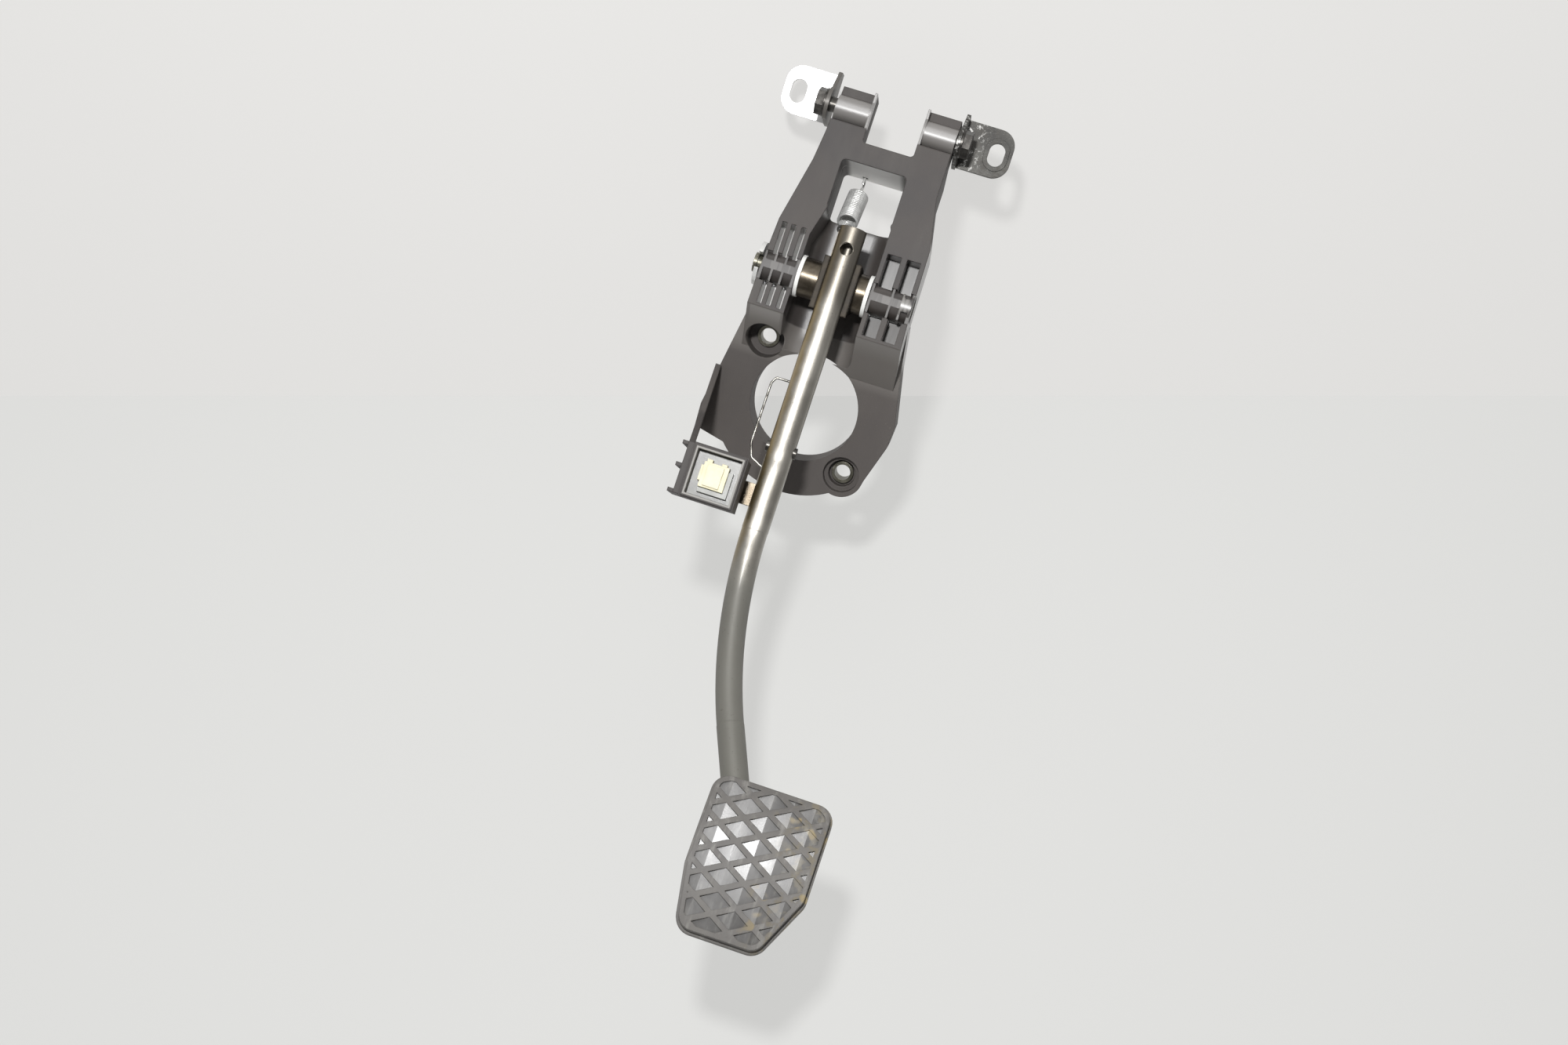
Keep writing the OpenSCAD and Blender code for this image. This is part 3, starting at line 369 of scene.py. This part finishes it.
# ---- wire pieces: a path swept by a geometry tree ----
def wireTree():
    tree = bpy.data.node_groups.new("bentWire", "GeometryNodeTree")
    for name, kind in (("Path", "NodeSocketGeometry"), ("Wire radius", "NodeSocketFloat"),
                       ("Bend radius", "NodeSocketFloat"), ("Sides", "NodeSocketInt"),
                       ("Finish", "NodeSocketMaterial")):
        tree.interface.new_socket(name, in_out="INPUT", socket_type=kind)
    tree.interface.new_socket("Mesh", in_out="OUTPUT", socket_type="NodeSocketGeometry")
    graph = Graph(tree)
    given = graph.node("NodeGroupInput")
    path = graph.node("GeometryNodeMeshToCurve", None, {"Mesh": Wire(graph, given.outputs["Path"])})
    bent = graph.node("GeometryNodeFilletCurve", None, {
        "Curve": Wire(graph, path.outputs["Curve"]), "Radius": Wire(graph, given.outputs["Bend radius"]),
        "Limit Radius": True})
    if "Mode" in bent.inputs:
        bent.inputs["Mode"].default_value = "Poly"
    else:
        bent.mode = "POLY"
    bent.inputs["Count"].default_value = 6
    ring = graph.node("GeometryNodeCurvePrimitiveCircle", None, {
        "Resolution": Wire(graph, given.outputs["Sides"]), "Radius": Wire(graph, given.outputs["Wire radius"])})
    swept = graph.node("GeometryNodeCurveToMesh", None, {
        "Curve": Wire(graph, bent.outputs["Curve"]), "Profile Curve": Wire(graph, ring.outputs["Curve"]),
        "Fill Caps": True})
    real = graph.node("GeometryNodeRealizeInstances", None, {"Geometry": Wire(graph, swept.outputs["Mesh"])})
    named = graph.node("GeometryNodeSetMaterial", None, {
        "Geometry": Wire(graph, real.outputs["Geometry"]), "Material": Wire(graph, given.outputs["Finish"])})
    sheet = graph.node("NodeGroupOutput")
    tree.links.new(named.outputs["Geometry"], sheet.inputs["Mesh"])
    return tree


bentWire = wireTree()


def bentPiece(name, points, values):
    mesh = bpy.data.meshes.new(name)
    mesh.from_pydata(points, [(i, i + 1) for i in range(len(points) - 1)], [])
    shell = bpy.data.objects.new(name, mesh)
    bpy.context.scene.collection.objects.link(shell)
    grow = shell.modifiers.new("bentWire", "NODES")
    grow.node_group = bentWire
    for item in bentWire.interface.items_tree:
        if item.item_type == "SOCKET" and item.in_out == "INPUT" and item.name in values:
            grow[item.identifier] = values[item.name]
    return settle(shell)


def settle(shell):  # the evaluated shape as a plain, smooth, closed mesh
    evaluated = shell.evaluated_get(bpy.context.evaluated_depsgraph_get())
    plain = bpy.data.meshes.new_from_object(evaluated)
    shell.modifiers.clear()
    shell.data = plain
    work = bmesh.new()
    work.from_mesh(plain)
    bmesh.ops.remove_doubles(work, verts=work.verts, dist=1e-7)
    bmesh.ops.recalc_face_normals(work, faces=work.faces)
    work.to_mesh(plain)
    work.free()
    plain.polygons.foreach_set("use_smooth", [True] * len(plain.polygons))
    plain.set_sharp_from_angle(angle=math.radians(40))
    return shell


spring = {"wire": 0.0013, "outer": 0.0115, "turns": 17, "pitch": 0.00132, "firstCoil": 0.009, "hook": 0.0032,
          "coilSteps": 20, "hookSteps": 22, "hookSweep": 320, "lowHookStart": -230, "highHookStart": -90,
          "easeSteps": 8, "easeShare": 0.75, "lowNeck": 0.0012, "highNeck": 0.0015,
          "low": (-0.0058, -0.0485, 0.084), "high": (-0.0058, -0.0213, 0.1227)}


def hookAngles(start):
    last = spring["hookSteps"] - 1
    return [math.radians(start + spring["hookSweep"] * i / last) for i in range(last + 1)]


def springPath():
    low, high = Vector(spring["low"]), Vector(spring["high"])
    span = high - low
    length = span.length - 2 * spring["hook"]
    mean = (spring["outer"] - spring["wire"]) / 2
    hook = spring["hook"]
    top = spring["firstCoil"] + spring["pitch"] * spring["turns"]
    steps, coils = spring["coilSteps"], spring["turns"] * spring["coilSteps"]
    points = []
    for a in hookAngles(spring["lowHookStart"]):  # lower hook, through the eye of the lug
        points.append((hook * math.cos(a), 0.0, hook + hook * math.sin(a)))
    points.append((0.0, 0.0, spring["firstCoil"] - spring["lowNeck"]))
    for i in range(coils + 1):
        a = 2 * math.pi * i / steps
        ease = min(1.0, i / spring["easeSteps"], (coils - i) / spring["easeSteps"])
        r = mean * (1 - spring["easeShare"] + spring["easeShare"] * ease)
        points.append((r * math.cos(a), r * math.sin(a), spring["firstCoil"] + spring["pitch"] * i / steps))
    points.append((0.0, 0.0, top + spring["highNeck"]))
    for a in hookAngles(spring["highHookStart"]):  # upper hook, round the bar of the window
        points.append((0.0, hook * math.cos(a), length + hook * math.sin(a)))
    lean = Matrix.Rotation(-math.atan2(span.y, span.z), 4, "X")
    return [low + lean @ Vector(p) for p in points]


returnCoil = bentPiece("return_coil", springPath(), {
    "Wire radius": spring["wire"] / 2, "Bend radius": 0.0002, "Sides": 10, "Finish": materials["springZinc"]})
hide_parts("return_spring")
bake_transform(returnCoil)

clip = {"wire": 0.0013, "depth": -0.057,
        "path": [(-0.0048, 0.0005), (-0.0140, 0.0005), (-0.0157, -0.0029), (-0.0159, -0.0354),
                 (-0.0135, -0.0426), (-0.0048, -0.0469)]}
cableClip = bentPiece("cable_clip", [(x, clip["depth"], z) for x, z in clip["path"]], {
    "Wire radius": clip["wire"] / 2, "Bend radius": 0.0015, "Sides": 14, "Finish": materials["clipZinc"]})
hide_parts("wire_clip")
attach(cableClip, "pedal")
print("wire pieces made")


# ---- tread: a low roof in each pocket of the pad ----
pad = {"middle": (0.055, -0.126, -0.2316), "lean": 18.0, "crown": 0.190, "width": 0.061, "height": 0.079,
       "cellWide": 0.021, "cellHigh": 0.012, "rib": 0.0032, "drop": 0.004, "floor": 0.0024, "ridge": 0.0008,
       "inset": 0.0038, "corner": 0.009, "bottom": 0.023, "cutRight": 0.011, "cutLeft": 0.004,
       "lift": 0.0007, "tip": 0.12, "sink": 0.0004, "columns": 4, "rows": 9}


def padEdge(inset):  # outline of the pad, as corner centres and a radius
    x, z = pad["width"] / 2 - pad["corner"], pad["height"] / 2 - pad["corner"]
    corners = [(-x, z), (x, z), (x, -z + pad["bottom"]), (x - pad["cutRight"], -z), (-x + pad["cutLeft"], -z),
               (-x, -z + pad["bottom"])]
    return corners, pad["corner"] - inset


def clipConvex(shape, corners, radius):
    for i, here in enumerate(corners):
        there = corners[(i + 1) % len(corners)]
        dx, dz = there[0] - here[0], there[1] - here[1]
        size = math.hypot(dx, dz)
        nx, nz = -dz / size, dx / size
        limit = nx * here[0] + nz * here[1] + radius
        cut = []
        for j, p in enumerate(shape):
            q = shape[(j + 1) % len(shape)]
            dp, dq = nx * p[0] + nz * p[1] - limit, nx * q[0] + nz * q[1] - limit
            if dp <= 0:
                cut.append(p)
            if dp * dq < 0:
                t = dp / (dp - dq)
                cut.append((p[0] + t * (q[0] - p[0]), p[1] + t * (q[1] - p[1])))
        shape = cut
        if len(shape) < 3:
            return []
    return shape


def padPoint(x, z, depth):  # pad frame to row frame
    turn = Matrix.Rotation(math.radians(-pad["lean"]), 4, "X")
    return Vector(pad["middle"]) + turn @ Vector((x, depth, z))


def crownDepth(z, drop):
    return drop + pad["crown"] - math.sqrt(pad["crown"] ** 2 - z * z)


def treadRoofs():
    halfWide = (pad["cellWide"] - pad["rib"] * pad["cellWide"] / pad["cellHigh"]) / 2
    halfHigh = (pad["cellHigh"] - pad["rib"]) / 2
    corners, radius = padEdge(pad["inset"])
    verts, faces = [], []
    for c in range(-pad["columns"], pad["columns"] + 1):
        for r in range(-pad["rows"], pad["rows"] + 1):
            if (c + r) % 2:
                continue
            cx, cz = c * pad["cellWide"] / 2, r * pad["cellHigh"] / 2 - pad["drop"]
            for side in (-1, 1):
                wing = [(cx, cz + halfHigh), (cx + side * halfWide, cz), (cx, cz - halfHigh)]
                wing = clipConvex(wing if side > 0 else wing[::-1], corners, radius)
                if not wing:
                    continue
                base = len(verts)
                for x, z in wing:
                    rise = pad["ridge"] * (1 - abs(x - cx) / halfWide) + pad["lift"] + pad["tip"] * (z - cz)
                    verts.append(padPoint(x, z, crownDepth(z, pad["floor"]) - rise))
                for x, z in wing:
                    verts.append(padPoint(x, z, crownDepth(z, pad["floor"]) + pad["sink"]))
                count = len(wing)
                faces.append([base + i for i in range(count)])
                faces.append([base + count + i for i in reversed(range(count))])
                for i in range(count):
                    j = (i + 1) % count
                    faces.append([base + j, base + i, base + count + i, base + count + j])
    mesh = bpy.data.meshes.new("tread_roofs")
    mesh.from_pydata(verts, [], faces)
    mesh.materials.append(materials["rubberPocket"])
    work = bmesh.new()
    work.from_mesh(mesh)
    bmesh.ops.recalc_face_normals(work, faces=work.faces)
    work.to_mesh(mesh)
    work.free()
    shell = bpy.data.objects.new("tread_roofs", mesh)
    bpy.context.scene.collection.objects.link(shell)
    return shell


roofs = treadRoofs()
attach(roofs, "pedal")
print("pad tread made")

# ---- camera ----
view = {"place": (0.10114, -1.06239, -0.1225), "right": (0.94778, 0.06651, 0.31191),
        "up": (-0.30681, -0.07675, 0.94867), "forward": (-0.08704, 0.99483, 0.05234), "lens": 45.198, "toPart": 1.05}
right, up, forward = (Vector(view[k]).normalized() for k in ("right", "up", "forward"))
eye = Vector(view["place"])
lensData = bpy.data.cameras.new("camera")
lensData.sensor_width = 36.0
lensData.lens = view["lens"]
lensData.clip_start, lensData.clip_end = 0.05, 30.0
camera = bpy.data.objects.new("camera", lensData)
camera.matrix_world = Matrix((
    (right.x, up.x, -forward.x, eye.x), (right.y, up.y, -forward.y, eye.y), (right.z, up.z, -forward.z, eye.z),
    (0, 0, 0, 1)))
bpy.context.scene.collection.objects.link(camera)
bpy.context.scene.camera = camera

# ---- stage: a pale corner behind the part, seen only from its front ----
stage = {"creaseUp": 0.0785, "creaseDeep": 1.221, "wallTop": (0.237, 1.088), "floorEnd": (-0.210, 1.095),
         "wide": 2.4, "long": 2.4, "wall": paint("e6e5e3"), "floor": paint("dededc"), "glow": 0.73}


def paleSheet(name, colour):  # lit mostly from within, like a light box, so the shadows on it stay faint
    material = bpy.data.materials.new(name)
    material.use_nodes = True
    graph = Graph(material.node_tree)
    at = graph.out("ShaderNodeTexCoord", "Object")
    tone = graph.blend(graph.noise(at, 3.0, 3.0) * 0.4, colour, tuple(c * 0.96 for c in colour))
    face = graph.out("ShaderNodeBsdfDiffuse", "BSDF", None, {"Color": tone})
    glow = graph.out("ShaderNodeEmission", "Emission", None, {"Color": tone, "Strength": 1.0})
    lit = graph.out("ShaderNodeMixShader", "Shader", None, {0: stage["glow"], 1: face, 2: glow})
    clear = graph.out("ShaderNodeBsdfTransparent", "BSDF")
    back = graph.out("ShaderNodeNewGeometry", "Backfacing")
    mixed = graph.out("ShaderNodeMixShader", "Shader", None, {0: back, 1: lit, 2: clear})
    sheet = graph.node("ShaderNodeOutputMaterial")
    graph.tree.links.new(mixed.socket, sheet.inputs["Surface"])
    return material


def sheetPiece(name, start, end, material):
    a = eye + up * start[0] + forward * start[1]
    b = eye + up * end[0] + forward * end[1]
    along = (b - a).normalized() * stage["long"]
    half = right * stage["wide"] / 2
    points = [a - half, a + half, a + half + along, a - half + along]
    normal = (points[1] - points[0]).cross(points[3] - points[0])
    order = (0, 1, 2, 3) if normal.dot(eye - a) > 0 else (3, 2, 1, 0)
    mesh = bpy.data.meshes.new(name)
    mesh.from_pydata(points, [], [order])
    mesh.materials.append(material)
    sheet = bpy.data.objects.new(name, mesh)
    bpy.context.scene.collection.objects.link(sheet)


crease = (stage["creaseUp"], stage["creaseDeep"])
sheetPiece("wall", crease, stage["wallTop"], paleSheet("wallPaint", stage["wall"]))
sheetPiece("floor", crease, stage["floorEnd"], paleSheet("floorPaint", stage["floor"]))

# ---- light ----
lamps = {
    "flash": {"up": 0.27, "side": -0.07, "ahead": 0.03, "size": 0.08, "power": 9.6},
    "softbox": {"up": 0.85, "side": 0.1, "ahead": 0.25, "size": 0.7, "power": 1.6},
}
aim = eye + forward * view["toPart"]
for name, lamp in lamps.items():
    data = bpy.data.lights.new(name, "AREA")
    data.shape, data.size, data.energy = "DISK", lamp["size"], lamp["power"]
    holder = bpy.data.objects.new(name, data)
    place = eye + up * lamp["up"] + right * lamp["side"] + forward * lamp["ahead"]
    holder.matrix_world = Matrix.Translation(place) @ (aim - place).to_track_quat("-Z", "Y").to_matrix().to_4x4()
    bpy.context.scene.collection.objects.link(holder)

room = {"light": 0.36, "seen": paint("e6e5e3")}
world = bpy.data.worlds.new("room")
world.use_nodes = True
bpy.context.scene.world = world
sky = Graph(world.node_tree)
ray = sky.node("ShaderNodeLightPath")
lit = sky.out("ShaderNodeBackground", "Background", None, {"Color": (1, 1, 1, 1), "Strength": room["light"]})
seen = sky.out("ShaderNodeBackground", "Background", None, {"Color": rgba(room["seen"]), "Strength": 1.0})
both = sky.out("ShaderNodeMixShader", "Shader", None, {0: Wire(sky, ray.outputs["Is Camera Ray"]), 1: lit, 2: seen})
sheet = sky.node("ShaderNodeOutputWorld")
sky.tree.links.new(both.socket, sheet.inputs["Surface"])

scene = bpy.context.scene
scene.view_settings.view_transform = "Standard"
print("camera, stage and light set")
